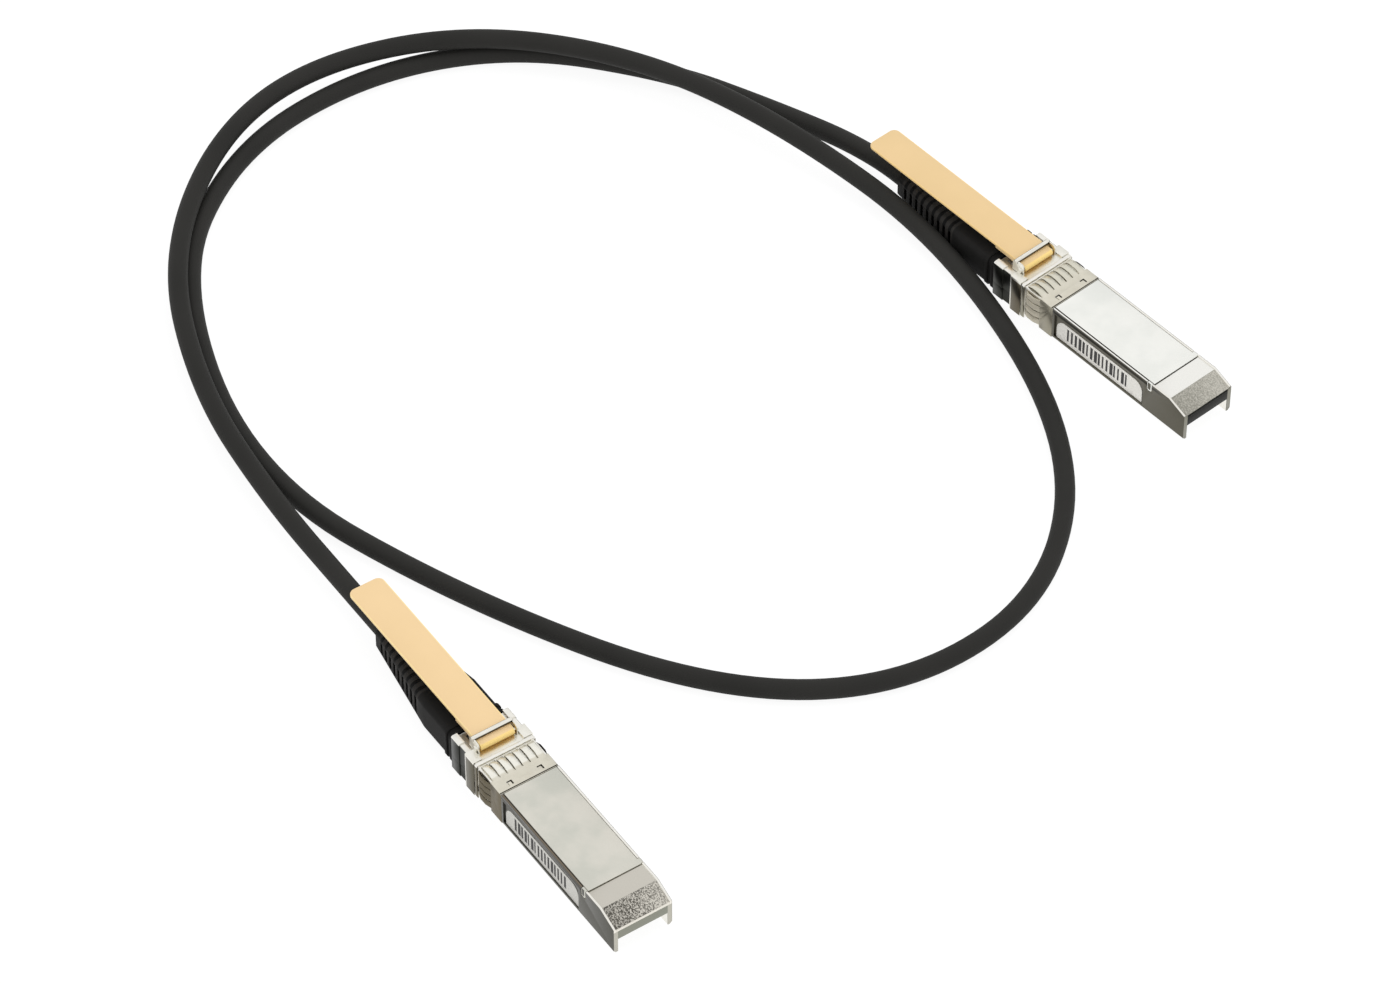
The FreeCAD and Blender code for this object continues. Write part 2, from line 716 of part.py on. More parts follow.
def cable():
    """The jacketed cable: one pipe between the boots and a straight lead-in to each ferrule."""
    radius = cable_diameter / 2
    shape, path, radii = pipe(cable_route(), radius)
    lead = rod(route_start, jacket_end, 0, cable_height, radius)
    for key in plugs:
        end = lead.copy()
        end.Placement = on_table(key).multiply(lead.Placement)
        shape = shape.fuse(end)
    shape = shape.removeSplitter()
    length = path.Length + len(plugs) * (jacket_end - route_start)
    section = math.pi * radius**2
    print("cable", shape.isValid(), len(shape.Solids), "length", round(length, 1))
    print("volume over section times length", round(shape.Volume / (section * length), 4))
    print("radii", [round(r) for r in radii])
    return shape


def main():
    os.makedirs("parts", exist_ok=True)
    pieces = {
        "lower_shell": lower_shell(),
        "upper_shell": upper_shell(),
        "top_cover": top_cover(),
        "emi_collar": emi_collar(),
        "paddle_card": paddle_card(),
        "contact_pads": contact_pads(),
        "card_components": card_components(),
        "crimp_ferrule": crimp_ferrule(),
        "wire_pairs": wire_pairs(),
        "latch_slider": latch_slider(),
        "return_springs": return_springs(),
        "pull_tab": pull_tab(),
        "strain_relief_boot": strain_relief_boot(),
        "side_label": side_label(),
    }
    for name, shape in pieces.items():
        print(name, shape.isValid(), len(shape.Solids), round(shape.Volume, 2))
        for key in plugs:
            placed = shape.copy()
            placed.Placement = on_table(key).multiply(shape.Placement)
            placed.exportStep("parts/%s_%s.step" % (name, key))
    cable().exportStep("parts/cable.step")


main()
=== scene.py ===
import json
import math

import bmesh
import bpy
import numpy as np
from mathutils import Matrix, Vector


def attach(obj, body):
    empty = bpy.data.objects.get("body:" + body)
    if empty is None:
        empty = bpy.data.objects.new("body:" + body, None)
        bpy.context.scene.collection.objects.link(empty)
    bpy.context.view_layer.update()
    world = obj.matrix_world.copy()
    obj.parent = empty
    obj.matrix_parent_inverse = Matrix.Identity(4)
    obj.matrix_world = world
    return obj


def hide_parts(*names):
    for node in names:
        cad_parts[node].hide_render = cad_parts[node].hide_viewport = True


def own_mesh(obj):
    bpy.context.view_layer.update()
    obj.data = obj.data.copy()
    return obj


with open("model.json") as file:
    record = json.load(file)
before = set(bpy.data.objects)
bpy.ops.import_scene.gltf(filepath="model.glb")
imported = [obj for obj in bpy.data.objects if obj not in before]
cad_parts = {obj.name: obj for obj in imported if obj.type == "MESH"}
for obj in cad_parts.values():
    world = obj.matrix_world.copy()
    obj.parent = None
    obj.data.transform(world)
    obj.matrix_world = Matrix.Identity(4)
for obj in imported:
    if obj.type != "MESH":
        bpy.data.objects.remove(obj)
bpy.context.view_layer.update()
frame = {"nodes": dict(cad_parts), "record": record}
scene = bpy.context.scene


# ------------------------------------------------------------------ table, light and camera
# A plain white table under a pale room and one broad soft box. The table is white to the eye and in the
# metal's reflections alike, and keeps a faint shadow of the object.
class Value:
    """A number, colour or vector that changes over a surface; Python's operators add Math nodes to it."""

    def __init__(self, finish, socket):
        self.finish = finish
        self.socket = socket

    def maths(self, operation, first, second=0.0):
        return self.finish.node("ShaderNodeMath", {"operation": operation}, {0: first, 1: second})

    def __add__(self, other):
        return self.maths("ADD", self, other)

    __radd__ = __add__

    def __mul__(self, other):
        return self.maths("MULTIPLY", self, other)

    __rmul__ = __mul__

    def __sub__(self, other):
        return self.maths("SUBTRACT", self, other)

    def __rsub__(self, other):
        return self.maths("SUBTRACT", other, self)

    def __abs__(self):
        return self.maths("ABSOLUTE", self)

    def floor(self):
        return self.maths("FLOOR", self)

    def above(self, edge, blur=0.06):
        """0 below the edge and 1 above it, with a soft step as wide as the blur."""
        return self.finish.node("ShaderNodeMapRange", {"interpolation_type": "SMOOTHSTEP"},
                                {"Value": self, "From Min": edge - blur / 2, "From Max": edge + blur / 2})

    def between(self, low, high, blur=0.06):
        """1 between the two edges and 0 outside them, with soft steps."""
        return self.above(low, blur) * (1 - self.above(high, blur))


class Finish:
    """A node tree of one material or of the world; its nodes are added by kind, settings and inputs."""

    def __init__(self, owner):
        owner.use_nodes = True
        self.owner = owner
        self.tree = owner.node_tree
        self.tree.nodes.clear()

    def node(self, kind, settings=None, inputs=None, output=0):
        """Adds a node and gives one of its outputs as a Value."""
        node = self.tree.nodes.new(kind)
        for name, setting in (settings or {}).items():
            if name == "stops":
                ramp = node.color_ramp.elements
                for i, (place, colour) in enumerate(setting):
                    element = ramp[i] if i < len(ramp) else ramp.new(place)
                    element.position = place
                    element.color = (*colour, 1)
            else:
                setattr(node, name, setting)
        for name, value in (inputs or {}).items():
            if isinstance(value, Value):
                self.tree.links.new(value.socket, node.inputs[name])
            else:
                node.inputs[name].default_value = value
        return Value(self, node.outputs[output]) if len(node.outputs) else None

    def mix(self, share, first, second):
        """One colour turning into another."""
        colours = [colour if isinstance(colour, Value) else (*colour, 1) for colour in (first, second)]
        return self.node("ShaderNodeMix", {"data_type": "RGBA"}, {0: share, 6: colours[0], 7: colours[1]}, 2)


mm = 0.001
room = bpy.data.worlds.new("pale_room")
scene.world = room
sky = Finish(room)
direction = sky.node("ShaderNodeTexCoord")
height = sky.node("ShaderNodeSeparateXYZ", None, {0: direction}, 2)
room_levels = ((0.0, 1.0), (1.0, 0.92), (0.45, 0.80), (0.73, 0.98))
room_greys = [(level, (grey, grey, grey)) for level, grey in room_levels]
glow = sky.node("ShaderNodeValToRGB", {"stops": room_greys}, {0: height})
room_light = sky.node("ShaderNodeBackground", None, {"Color": glow, "Strength": 1.0})
sky.node("ShaderNodeOutputWorld", None, {"Surface": room_light})

table_half = 1.5
table_mesh = bpy.data.meshes.new("table")
corners = [(x * table_half, y * table_half, 0) for x, y in ((-1, -1), (1, -1), (1, 1), (-1, 1))]
table_mesh.from_pydata(corners, [], [(0, 1, 2, 3)])
table = bpy.data.objects.new("table", table_mesh)
scene.collection.objects.link(table)
table.location.z = -0.2 * mm
top = Finish(bpy.data.materials.new("white_table"))
to_camera = top.node("ShaderNodeLightPath", None, None, 0)
to_gloss = top.node("ShaderNodeLightPath", None, None, 3)
to_glass = top.node("ShaderNodeLightPath", None, None, 6)
white = top.node("ShaderNodeEmission", None, {"Color": (1, 1, 1, 1), "Strength": 0.9})
shaded = top.node("ShaderNodeBsdfDiffuse", None, {"Color": (0.16, 0.16, 0.16, 1)})
to_eye = top.node("ShaderNodeAddShader", None, {0: white, 1: shaded})
paint = top.node("ShaderNodeBsdfDiffuse", None, {"Color": (0.85, 0.85, 0.85, 1)})
both = top.node("ShaderNodeMixShader", None, {0: to_camera + to_gloss + to_glass, 1: paint, 2: to_eye})
top.node("ShaderNodeOutputMaterial", None, {"Surface": both})
table_mesh.materials.append(top.owner)

lamp = bpy.data.lights.new("soft_box", "AREA")
lamp.shape = "RECTANGLE"
lamp.size, lamp.size_y = 1.0, 0.8
lamp.energy = 3.0
soft_box = bpy.data.objects.new("soft_box", lamp)
scene.collection.objects.link(soft_box)
soft_box.location = (0.3, 0.35, 1.1)
soft_box.rotation_euler = Vector(soft_box.location).to_track_quat("Z", "Y").to_euler()
soft_box.visible_glossy = False

camera_aim = Vector((-19.5, 12.7, 0.0)) * mm
camera_rise = math.radians(46.972)
camera_distance = 1333.16 * mm
lens = bpy.data.cameras.new("camera")
lens.sensor_width = 36.0
lens.lens = 169.03
lens.clip_start = 0.05
camera = bpy.data.objects.new("camera", lens)
scene.collection.objects.link(camera)
camera.location = camera_aim + camera_distance * Vector((0, -math.cos(camera_rise), math.sin(camera_rise)))
camera.rotation_euler = (math.pi / 2 - camera_rise, 0, 0)
scene.camera = camera
scene.view_settings.view_transform = "Standard"

# ------------------------------------------------------------------ the two plugs' own places
# Each plug has its own axes: x = 0 at the positive stop and +x towards the nose, y across, z = 0 at the
# underside of the body. Its sliding interface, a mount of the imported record, says where it lies.
nose_reach = 47.5
mid_height = 4.25
mounts = {mount["name"]: mount for mount in frame["record"]["mounts"]}
plugs = {}
for key in ("a", "b"):
    mount = mounts["plug_%s_insertion" % key]
    ahead = Vector(mount["axis"])
    stop = Vector(mount["pos_m"]) - ahead * nose_reach * mm - Vector((0, 0, mid_height * mm))
    plugs[key] = {"stop": stop, "ahead": ahead, "heading": math.atan2(ahead.y, ahead.x)}


def at_plug(key, points):
    """Points in a plug's own axes and millimetres, turned and moved to the object's frame in metres."""
    turn = np.array(Matrix.Rotation(plugs[key]["heading"], 3, "Z"))
    return np.asarray(points, float) @ turn.T * mm + np.array(plugs[key]["stop"])


# ------------------------------------------------------------------ cable
# One round twin-axial cable, 4.2 mm across: screened pairs of copper cores in a matt black extruded jacket,
# crimped in a plug at each end. It runs out of plug a's boot, once round the table, and then under and
# beside its own first turn into plug b's boot.
cable_diameter = 4.2
cable_height = 3.4
bench = cable_diameter / 2
straight_lead = [(-18.0, 0, cable_height), (-36.0, 0, cable_height), (-56.0, 0, cable_height)]
turning_points = [
    (-105.6, 6.1, 4.5),
    (-121.8, 36.0, 5.3),
    (-130.3, 73.5, 5.7),
    (-122.3, 110.6, 5.5),
    (-103.3, 132.8, 5.7),
    (-70.0, 142.1, 6.8),
    (-33.5, 134.7, 6.8),
    (-1.8, 114.1, 6.4),
    (32.9, 81.8, 2.6),
    (56.9, 26.6, bench),
    (51.2, -16.5, bench),
    (21.5, -42.1, bench),
    (-17.8, -42.9, bench),
    (-66.9, -18.3, bench),
    (-110.9, 14.8, bench),
    (-129.1, 71.6, bench),
    (-118.6, 109.8, bench),
    (-92.4, 133.6, bench),
    (-60.0, 142.5, bench),
    (-26.4, 134.8, bench),
    (-4.8, 123.2, 2.3),
]


def srgb(*levels):
    """A colour from display levels 0 to 255, straightened by the sRGB curve."""
    return tuple((v / 255 / 12.92) if v < 10.3 else ((v / 255 + 0.055) / 1.055) ** 2.4 for v in levels)


class PlugFinish(Finish):
    """A material with a Principled shader, whose patterns read a plug's own millimetres."""

    def __init__(self, name, key=None):
        super().__init__(bpy.data.materials.new(name if key is None else name + "_" + key))
        place = self.node("ShaderNodeTexCoord", None, None, 3)
        stop, heading = (plugs[key]["stop"], plugs[key]["heading"]) if key else (Vector(), 0.0)
        self.place = self.node("ShaderNodeMapping", {"vector_type": "TEXTURE"},
                               {0: place, 1: stop, 2: (0, 0, heading), 3: (mm, mm, mm)})
        self.x, self.y, self.z = (self.node("ShaderNodeSeparateXYZ", None, {0: self.place}, axis)
                                  for axis in range(3))
        self.across = abs(self.y)

    def noise(self, scale, detail=2.0, stretch=(1, 1, 1), roughness=0.5):
        """Cloudy noise from 0 to 1; the scale is in waves per millimetre."""
        place = self.node("ShaderNodeMapping", None, {0: self.place, 3: stretch})
        return self.node("ShaderNodeTexNoise", None,
                         {"Vector": place, "Scale": scale, "Detail": detail, "Roughness": roughness})

    def bump(self, height, depth, strength=1.0):
        """A normal from a height from 0 to 1, where 1 stands for a depth in millimetres."""
        return self.node("ShaderNodeBump", None,
                         {"Strength": strength, "Distance": depth * mm, "Height": height})

    def close(self, colour, roughness, metallic=0.0, normal=None, **fixed):
        """Ends the material with its Principled shader; fixed inputs are set on its own sockets."""
        inputs = {"Base Color": colour, "Roughness": roughness, "Metallic": metallic}
        if normal:
            inputs["Normal"] = normal
        for name, value in fixed.items():
            inputs[name.replace("_", " ")] = value
        shader = self.node("ShaderNodeBsdfPrincipled", None, inputs)
        self.node("ShaderNodeOutputMaterial", None, {"Surface": shader})
        return self.owner


route = [*at_plug("a", straight_lead), *(np.array(turning_points) * mm), *at_plug("b", straight_lead[::-1])]
line = bpy.data.curves.new("jacketed_cable", "CURVE")
line.dimensions = "3D"
line.bevel_depth = bench * mm
line.bevel_resolution = 7
line.use_fill_caps = True
spline = line.splines.new("NURBS")
spline.points.add(len(route) - 1)
for point, place in zip(spline.points, route):
    point.co = (*place, 1)
spline.order_u = 3
spline.use_endpoint_u = True
spline.resolution_u = 14
jacket_low = srgb(35, 35, 33)
jacket_high = srgb(49, 48, 46)
jacket = PlugFinish("black_jacket")
fine = jacket.noise(5.0, 3.0)
tone = jacket.mix(jacket.noise(0.05, 2.0), jacket_low, jacket_high)
line.materials.append(jacket.close(tone, 0.60 + 0.12 * fine, 0.0, jacket.bump(fine, 0.02, 0.5),
                                   Specular_IOR_Level=0.15))
cable = bpy.data.objects.new("jacketed_cable", line)
scene.collection.objects.link(cable)
body_of = {node: body for body, nodes in frame["record"]["behaviour"]["bodies"].items() for node in nodes}
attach(cable, body_of["cable"])
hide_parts("cable")

# ------------------------------------------------------------------ inside the plug
# Green glass-fibre card with gold-plated contacts, a black chip and capacitors, and the cable's pale cores
# soldered on behind them. A brass ferrule is crimped over the cable's braid. Each row gives a piece's two
# tones, its roughness and whether it is metal.
inside = {
    "paddle_card": (srgb(22, 92, 44), srgb(34, 120, 60), 0.32, 0.0),
    "contact_pads": (srgb(222, 178, 92), srgb(240, 200, 120), 0.22, 1.0),
    "card_components": (srgb(34, 34, 34), srgb(52, 50, 48), 0.5, 0.0),
    "crimp_ferrule": (srgb(196, 168, 104), srgb(222, 194, 130), 0.3, 1.0),
    "wire_pairs": (srgb(196, 204, 224), srgb(226, 230, 238), 0.4, 0.0),
}


def dress(node, material):
    """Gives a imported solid, kept as it is, its material."""
    mesh = frame["nodes"][node].data
    mesh.materials.clear()
    mesh.materials.append(material)


for key in plugs:
    for name, (low, high, rough, metal) in inside.items():
        coat = PlugFinish(name + "_finish", key)
        dress(name + "_" + key, coat.close(coat.mix(coat.noise(1.5, 2.0), low, high), rough, metal))

# ------------------------------------------------------------------ strain relief boot
# Black elastomer moulded round the cable, with a dry, slightly grained skin; the shells clamp its collet.
# Shallow grooves run on from the slots over the tail's shoulders as a bump with painted shade in them, and a
# painted highlight lightens the ribs between them.
groove_pitch = 2.0
groove_first = -40.6
groove_share = 0.44
grooved_length = (-41.4, -23.0)
rubber_low = srgb(20, 20, 19)
rubber_high = srgb(30, 29, 28)
rib_highlight = srgb(44, 42, 40)
groove_shade = srgb(6, 6, 6)


def show(name, mesh, material, node):
    """A new piece from a mesh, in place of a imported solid: it rides on that solid's body."""
    mesh.materials.clear()
    mesh.materials.append(material)
    mesh.polygons.foreach_set("use_smooth", [True] * len(mesh.polygons))
    piece = bpy.data.objects.new(name, mesh)
    scene.collection.objects.link(piece)
    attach(piece, body_of[node])
    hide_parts(node)
    return piece


def eased(node, material, width, segments=2):
    """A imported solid's own form with its sharp edges rounded by a width in millimetres.

    Points nearer than the weld are merged and flat triangles joined, so only true edges are rounded.
    """
    weld, flat_angle, sharp_angle = 0.002, math.radians(0.5), math.radians(28)
    form = bmesh.new()
    form.from_mesh(frame["nodes"][node].data)
    bmesh.ops.remove_doubles(form, verts=form.verts, dist=weld * mm)
    bmesh.ops.dissolve_limit(form, angle_limit=flat_angle, verts=form.verts, edges=form.edges)
    mesh = bpy.data.meshes.new(node + "_eased")
    form.to_mesh(mesh)
    form.free()
    bevel = show(node + "_eased", mesh, material, node).modifiers.new("eased_edges", "BEVEL")
    bevel.width = width * mm
    bevel.segments = segments
    bevel.limit_method = "ANGLE"
    bevel.angle_limit = sharp_angle
    bevel.harden_normals = True


for key in plugs:
    rubber = PlugFinish("boot_rubber", key)
    grain = rubber.noise(4.0, 3.0)
    along = (rubber.x - groove_first) * (1 / groove_pitch)
    place = along - along.floor()
    shoulder = rubber.z.between(3.4, 7.7, 0.6) * rubber.across.above(1.8, 0.8)
    ribbed = rubber.x.between(*grooved_length, 0.2) * shoulder
    groove = (1 - place.above(groove_share, 0.12)) * ribbed
    tone = rubber.mix(rubber.noise(0.15, 2.0), rubber_low, rubber_high)
    # painted highlight on the ribs, then painted shade in the grooves
    tone = rubber.mix(ribbed, tone, rib_highlight)
    tone = rubber.mix(groove, tone, groove_shade)
    relief = rubber.bump(grain * 0.04 + (1 - groove), 0.35, 0.7)
    skin = rubber.close(tone, 0.60 + 0.16 * grain, 0.0, relief, Specular_IOR_Level=0.12)
    eased("strain_relief_boot_" + key, skin, 0.2)

# ------------------------------------------------------------------ die-cast shells
# Nickelled zinc castings, a tray and a lid closed over card and boot: polished on top and left rough as cast
# on the nose's slope. Painted shade darkens the flanks, the band under the rim, the flange's sides, the
# backshell's sides and the seams and gaps by the cover and collar. Plug a's left rim and both front faces are
# painted darker as shade, and plug a has a painted highlight along the top of its front face. The ends of the
# two legs are painted lighter than the front face, and each plug's tones are lit and shaded apart.
collar_seat_end = 8.3
cover_rear, cover_front = 8.6, 37.9
slope_start = 42.8
front_face = 47.38
rim_inside = 6.17
flank_skin = 6.64
recess_length = (9.0, 36.0)
recess_height = (0.9, 7.25)
polished = srgb(248, 247, 242)
lip_bright = srgb(240, 236, 226)
# painted shade on the flanks and on the cover clips' legs, plug by plug
flank_shade = {"a": srgb(90, 89, 83), "b": srgb(96, 93, 83)}
# painted shade in a band under the rim
under_rim_shade = {"a": srgb(58, 54, 47), "b": srgb(46, 44, 38)}
# painted shade on the backshell's sides
backshell_shade = {"a": srgb(46, 47, 43), "b": srgb(50, 51, 46)}
# plug a's strip and slope are painted darker than plug b's as shade
nose_strip = {"a": srgb(208, 204, 194), "b": srgb(246, 245, 240)}
slope_grey = {"a": srgb(100, 97, 90), "b": srgb(160, 158, 148)}
slope_fleck = {"a": srgb(222, 218, 208), "b": srgb(208, 205, 195)}
fleck_blur = {"a": 0.12, "b": 0.3}
slope_relief = {"a": 0.12, "b": 0.05}
# painted shade on the front face: grey on plug a and near black on plug b
front_shade = {"a": srgb(140, 141, 129), "b": srgb(20, 20, 15)}
# the legs' ends are painted lighter than the front face, more on plug a than on plug b
leg_tone = {"a": srgb(188, 185, 173), "b": srgb(138, 136, 124)}
# painted shade on plug a's left rim; plug b's rim keeps the polished tone
rim_shade = {"a": srgb(122, 112, 98), "b": srgb(248, 247, 242)}
# painted shade on the flange's sides
flange_shade = {"a": srgb(112, 106, 90), "b": srgb(150, 146, 131)}
# painted shade in the seams and gaps by the cover and collar, and on the cover's left edge
gap_shade = {"a": srgb(148, 144, 134), "b": srgb(66, 62, 56)}
for key in plugs:
    cast = PlugFinish("zinc_casting", key)
    inner = 1 - cast.across.above(rim_inside, 0.03)
    slope = cast.x.above(slope_start) * cast.z.between(5.8, 8.35) * inner
    strip = cast.x.between(cover_front, slope_start) * cast.z.above(8.0) * inner
    seam = cast.x.between(cover_front - 0.1, cover_front + 0.22, 0.05) * cast.z.above(7.9) * inner
    joint = cast.x.between(collar_seat_end, collar_seat_end + 0.26, 0.04) * cast.z.above(7.0)
    flange = cast.across.above(6.55, 0.05) * cast.x.between(-1.2, 0.3) * (1 - cast.z.above(8.35))
    rim = cast.x.between(cover_rear, cover_front) * cast.z.above(8.0) * (1 - cast.y.above(-6.2, 0.04))
    gap = cast.x.between(cover_rear, cover_front) * cast.z.above(7.9) * cast.y.between(-6.32, -6.0, 0.05)
    front = cast.x.above(front_face)
    legs = front * cast.across.above(5.7)
    lip = front * cast.z.above(5.82, 0.1)
    recess = cast.across.above(6.25, 0.02) * cast.x.between(*recess_length) * cast.z.between(*recess_height)
    side = cast.across.above(flank_skin, 0.05) * cast.x.above(8.4) + recess
    under_rim = side * cast.z.between(7.5, 8.15, 0.1) * (1 - cast.x.above(40.0, 4.0))
    backshell = (1 - cast.x.above(-4.0)) * cast.across.above(6.4) * (1 - cast.z.above(8.45))
    grit = cast.noise(3.2, 3.0, roughness=0.7)
    cloud = cast.noise(0.3, 2.0)
    fleck = grit.above(0.50, fleck_blur[key]) + cast.y * 0.05
    tone = cast.mix(cloud, polished, lip_bright)
    tone = cast.mix(rim, tone, rim_shade[key])
    tone = cast.mix(strip, tone, nose_strip[key])
    tone = cast.mix(slope, tone, cast.mix(fleck, slope_grey[key], slope_fleck[key]))
    tone = cast.mix(front, tone, front_shade[key])
    tone = cast.mix(legs, tone, leg_tone[key])
    # painted highlight along the top of plug a's front face
    if key == "a":
        tone = cast.mix(lip, tone, lip_bright)
    tone = cast.mix(side, tone, flank_shade[key])
    tone = cast.mix(under_rim, tone, under_rim_shade[key])
    # painted shade in the cover's front seam, the left gap and the collar joint
    tone = cast.mix(seam, tone, gap_shade[key])
    tone = cast.mix(gap + joint, tone, gap_shade["b"])
    tone = cast.mix(flange, tone, flange_shade[key])
    tone = cast.mix(backshell, tone, backshell_shade[key])
    rough = 0.26 + 0.10 * cloud + 0.22 * slope + 0.08 * strip
    casting = cast.close(tone, rough, 1.0, cast.bump(grit * slope, slope_relief[key]))
    eased("lower_shell_" + key, casting, 0.12)
    eased("upper_shell_" + key, casting, 0.12)

# ------------------------------------------------------------------ top cover
# Satin stainless plate let in between the rims, with faint cloudy smudges; plug a's plate is painted darker
# than plug b's as shade. It is held by two clips, whose legs hook down over the flanks, are bright along
# their sheared edges and carry the flanks' painted shade; painted shade also runs along the plate's left
# edge.
# plug a's plate is painted darker than plug b's as shade
cover_low = {"a": srgb(212, 212, 202), "b": srgb(244, 245, 240)}
cover_high = {"a": srgb(226, 223, 213), "b": srgb(252, 252, 247)}
for key in plugs:
    plate = PlugFinish("satin_cover", key)
    brushed = plate.noise(1.1, 3.0, (0.10, 3.0, 1.0))
    smudge = plate.noise(0.11, 3.0, roughness=0.6)
    hook = plate.across.above(6.62, 0.05) * plate.x.between(36.65, 37.5, 0.06) * plate.z.above(6.75, 0.06)
    # painted shade along the plate's left edge
    left_edge_shade = plate.y.between(-6.2, -6.0, 0.04) * plate.z.above(8.0)
    tone = plate.mix(smudge.above(0.5, 0.35), cover_low[key], cover_high[key])
    tone = plate.mix(hook, tone, flank_shade[key])
    tone = plate.mix(left_edge_shade, tone, gap_shade[key])
    cover = plate.close(tone, 0.36 + 0.10 * brushed, 1.0, plate.bump(brushed, 0.006))
    eased("top_cover_" + key, cover, 0.07)

# ------------------------------------------------------------------ grounding collar
# Stamped and folded spring steel, thin and slightly warm, duller down its sides and painted darker there as
# shade, with painted light and shade on its side fingers that differ by plug. A painted highlight lightens
# the fingers where they bulge, and painted shade darkens the far edge, the slits of the two lances and the
# line behind the front edge.
collar_top = 8.25
finger_root = 4.6
collar_low = srgb(214, 209, 193)
collar_high = srgb(234, 230, 216)
collar_side_shade = {"a": srgb(118, 110, 93), "b": srgb(160, 155, 139)}
side_finger_shading = {"a": srgb(124, 116, 98), "b": srgb(214, 208, 192)}
bulge_highlight = {"a": srgb(248, 246, 236), "b": srgb(224, 221, 206)}
collar_shade = srgb(48, 44, 36)
for key in plugs:
    collar = PlugFinish("collar_steel", key)
    scratch = collar.noise(2.5, 2.0, (0.2, 2.0, 1.0))
    upper = collar.z.above(collar_top, 0.1)
    wall = collar.across.above(6.3, 0.2) * (1 - upper)
    bulge = collar.x.between(0.9, 4.3, 0.5) * collar.z.above(8.6, 0.15)
    arched = wall * collar.x.between(0.6, finger_root, 0.3)
    far_edge = collar.y.above(6.62, 0.1) * (1 - collar.z.above(8.45, 0.1))
    leg = collar.y.between(3.75, 4.1, 0.08) + collar.y.between(-3.25, -2.9, 0.08)
    foot = collar.x.between(6.25, 6.55, 0.1) * (1 - abs(collar.across - 3.5).above(0.55, 0.1))
    slit = collar.x.between(6.25, 7.35, 0.1) * leg + foot
    front_line = collar.x.between(7.98, 8.25, 0.06)
    tone = collar.mix(collar.noise(0.5, 2.0), collar_low, collar_high)
    # painted highlight where the fingers bulge, then painted shade on the sides and painted light and shade
    # on the side fingers
    tone = collar.mix(bulge, tone, bulge_highlight[key])
    tone = collar.mix(wall, tone, collar_side_shade[key])
    tone = collar.mix(arched, tone, side_finger_shading[key])
    # painted shade on the far edge, in the lances' slits and behind the front edge
    tone = collar.mix(far_edge, tone, collar_shade)
    tone = collar.mix((slit + front_line) * upper, tone, collar_shade)
    dull = 0.36 + 0.10 * scratch + 0.28 * arched
    steel = collar.close(tone, dull, 1.0, collar.bump(scratch, 0.006))
    eased("emi_collar_" + key, steel, 0.04, 1)

# ------------------------------------------------------------------ return springs
# Two helical coils of 0.24 mm spring wire in the lid's pockets, wound round an axle along the plug. They are
# caught between the casting and the slider's lugs; in the real plug they shorten as the latch is pulled, but
# each coil here is a fixed mesh that rides on the springs' body.
coil_start = -8.4
coil_length = 5.1
coil_radius = 0.68
coil_turns = 6
coil_steps = 24
coil_side = 3.0
coil_height = 7.05
wire_radius = 0.12
wire_sides = 8
wire_low = srgb(150, 147, 140)
wire_high = srgb(190, 187, 180)


def tube_mesh(name, key, centres, outward, radius, sides):
    """A round wire with flat ends along a line in a plug's own axes.

    Each point is the line's centre, plus the radius times the cosine of an angle along the outward
    direction, plus the radius times its sine along the tangent's cross product with that direction.
    """
    tangent = np.gradient(centres, axis=0)
    tangent /= np.linalg.norm(tangent, axis=1, keepdims=True)
    outward = outward - (outward * tangent).sum(1, keepdims=True) * tangent
    outward /= np.linalg.norm(outward, axis=1, keepdims=True)
    beside = np.cross(tangent, outward)
    angle = np.linspace(0, 2 * math.pi, sides, endpoint=False)[None, :, None]
    rings = centres[:, None] + radius * (np.cos(angle) * outward[:, None] + np.sin(angle) * beside[:, None])
    ring, spoke = np.indices((len(centres) - 1, sides))
    near, beyond = ring * sides + spoke, ring * sides + (spoke + 1) % sides
    walls = np.stack([near, beyond, beyond + sides, near + sides], axis=-1).reshape(-1, 4).tolist()
    first_end = list(range(sides))[::-1]
    last_end = list(range((len(centres) - 1) * sides, len(centres) * sides))
    mesh = bpy.data.meshes.new(name)
    mesh.from_pydata(at_plug(key, rings.reshape(-1, 3)).tolist(), [], [*walls, first_end, last_end])
    return mesh


for key in plugs:
    wire = PlugFinish("spring_wire", key)
    steel = wire.close(wire.mix(wire.noise(2.0), wire_low, wire_high), 0.28, 1.0)
    for side, name in ((-coil_side, "right"), (coil_side, "left")):
        t = np.linspace(0, 1, coil_turns * coil_steps + 1)
        turn = 2 * math.pi * coil_turns * t
        radial = np.stack([0 * t, np.cos(turn), np.sin(turn)], axis=1)
        run = coil_length - 2 * wire_radius
        axle = np.stack([coil_start + wire_radius + run * t, side + 0 * t, coil_height + 0 * t], axis=1)
        coil = tube_mesh("coil", key, axle + coil_radius * radial, radial, wire_radius, wire_sides)
        spring = show("return_spring_%s_%s" % (name, key), coil, steel,
                      "return_springs_" + key)
        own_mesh(spring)

# ------------------------------------------------------------------ latch slider
# Stamped stainless strip folded round the backshell, with its tray, ears, cross bar and pin. Painted shade
# darkens its flanks and two lines on the bar's faces; it is bright along the sheared edges, and the flanks'
# painted shade stops short of their rear edges, which stay bright.
arm_rear = -3.82
latch_low = srgb(232, 229, 218)
latch_high = srgb(250, 248, 240)
arm_shade = {"a": srgb(92, 87, 72), "b": srgb(104, 97, 82)}
bar_shade = srgb(84, 80, 68)
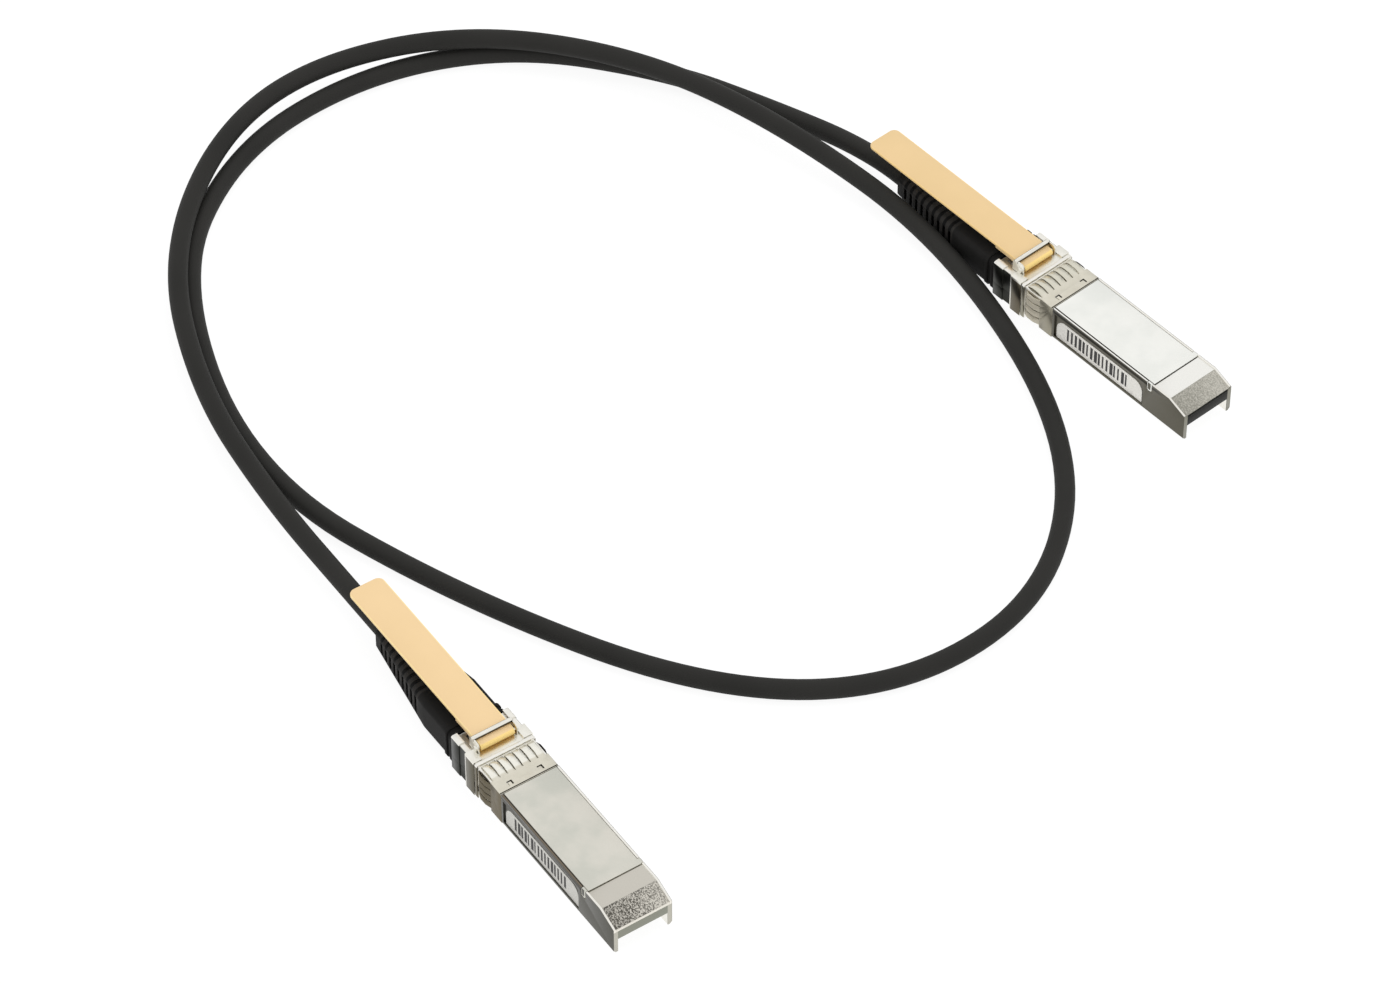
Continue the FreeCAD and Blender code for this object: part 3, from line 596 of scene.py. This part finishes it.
for key in plugs:
    stamp = PlugFinish("latch_steel", key)
    cloud = stamp.noise(0.6, 2.0)
    arm = stamp.across.above(6.87, 0.03) * (1 - stamp.z.above(8.3)) * stamp.x.above(arm_rear, 0.05)
    bar = stamp.z.above(10.4) * (stamp.x.between(-4.56, -4.4, 0.03) + stamp.x.between(-5.6, -5.44, 0.03))
    tone = stamp.mix(cloud, latch_low, latch_high)
    # painted shade on the flanks, stopping short of their rear edges, and in two lines on the bar
    tone = stamp.mix(arm, tone, arm_shade[key])
    tone = stamp.mix(bar, tone, bar_shade)
    slider = stamp.close(tone, 0.24 + 0.10 * cloud, 1.0)
    eased("latch_slider_" + key, slider, 0.06)

# ------------------------------------------------------------------ pull tab
# Buff plastic strap, 7.8 mm wide and 0.6 mm thick, satin, with a painted highlight along the tops of its
# trimmed edges, and a little lighter on plug a as lit. It is doubled round the pin, where the stretched fold
# is a deeper amber, with a painted highlight above and painted shade below.
fold_rear = -4.1
# plug a's strap is painted a little lighter than plug b's, as lit
strap_low = {"a": srgb(236, 204, 153), "b": srgb(226, 195, 142)}
strap_high = {"a": srgb(242, 210, 160), "b": srgb(234, 202, 150)}
strap_edge_highlight = {"a": srgb(252, 224, 160), "b": srgb(244, 208, 140)}
fold_amber_highlight = srgb(255, 222, 140)
fold_underside_shade = srgb(214, 166, 76)
for key in plugs:
    film = PlugFinish("strap_film", key)
    cloud = film.noise(0.12, 2.0)
    fold = film.x.above(fold_rear, 0.5) * (1 - film.z.above(10.12, 0.15))
    under = film.x.above(fold_rear, 0.5) * (1 - film.z.above(9.15, 0.5))
    edge = film.across.above(3.72, 0.15) * film.z.above(9.9, 0.1)
    tone = film.mix(cloud, strap_low[key], strap_high[key])
    # painted highlight on the edges' tops, then a painted highlight on the fold and painted shade under it
    tone = film.mix(edge, tone, strap_edge_highlight[key])
    tone = film.mix(fold, tone, fold_amber_highlight)
    tone = film.mix(under, tone, fold_underside_shade)
    strap = film.close(tone, 0.40 + 0.08 * cloud, 0.0, film.bump(film.noise(1.2), 0.01))
    eased("pull_tab_" + key, strap, 0.14)

# ------------------------------------------------------------------ side label
# White paper stuck in the left flank's recess and printed with plain bars that stand for no code: every
# 1.15 mm cell holds one bar of a random width.
bar_pitch = 1.15
bar_seed = {"a": 3, "b": 40}
bars_along = (12.4, 31.0)
bars_high = (2.0, 5.4)
# plug a's paper is painted greyer than plug b's as shade
paper_low = {"a": srgb(206, 204, 198), "b": srgb(250, 247, 239)}
paper_high = {"a": srgb(220, 219, 213), "b": srgb(255, 253, 247)}
bar_ink = srgb(34, 31, 30)
for key in plugs:
    paper = PlugFinish("label_paper", key)
    along = paper.x * (1 / bar_pitch)
    cell = along.floor()
    chance = paper.node("ShaderNodeTexWhiteNoise", {"noise_dimensions": "1D"}, {"W": cell + bar_seed[key]})
    bars = (chance * 0.45 + 0.38 - (along - cell)).above(0.0, 0.03)
    bars = bars * paper.x.between(*bars_along, 0.1) * paper.z.between(*bars_high, 0.1)
    fibre = paper.noise(3.0, 2.0)
    tone = paper.mix(fibre, paper_low[key], paper_high[key])
    tone = paper.mix(bars, tone, bar_ink)
    dress("side_label_" + key, paper.close(tone, 0.55, 0.0, paper.bump(fibre, 0.01)))
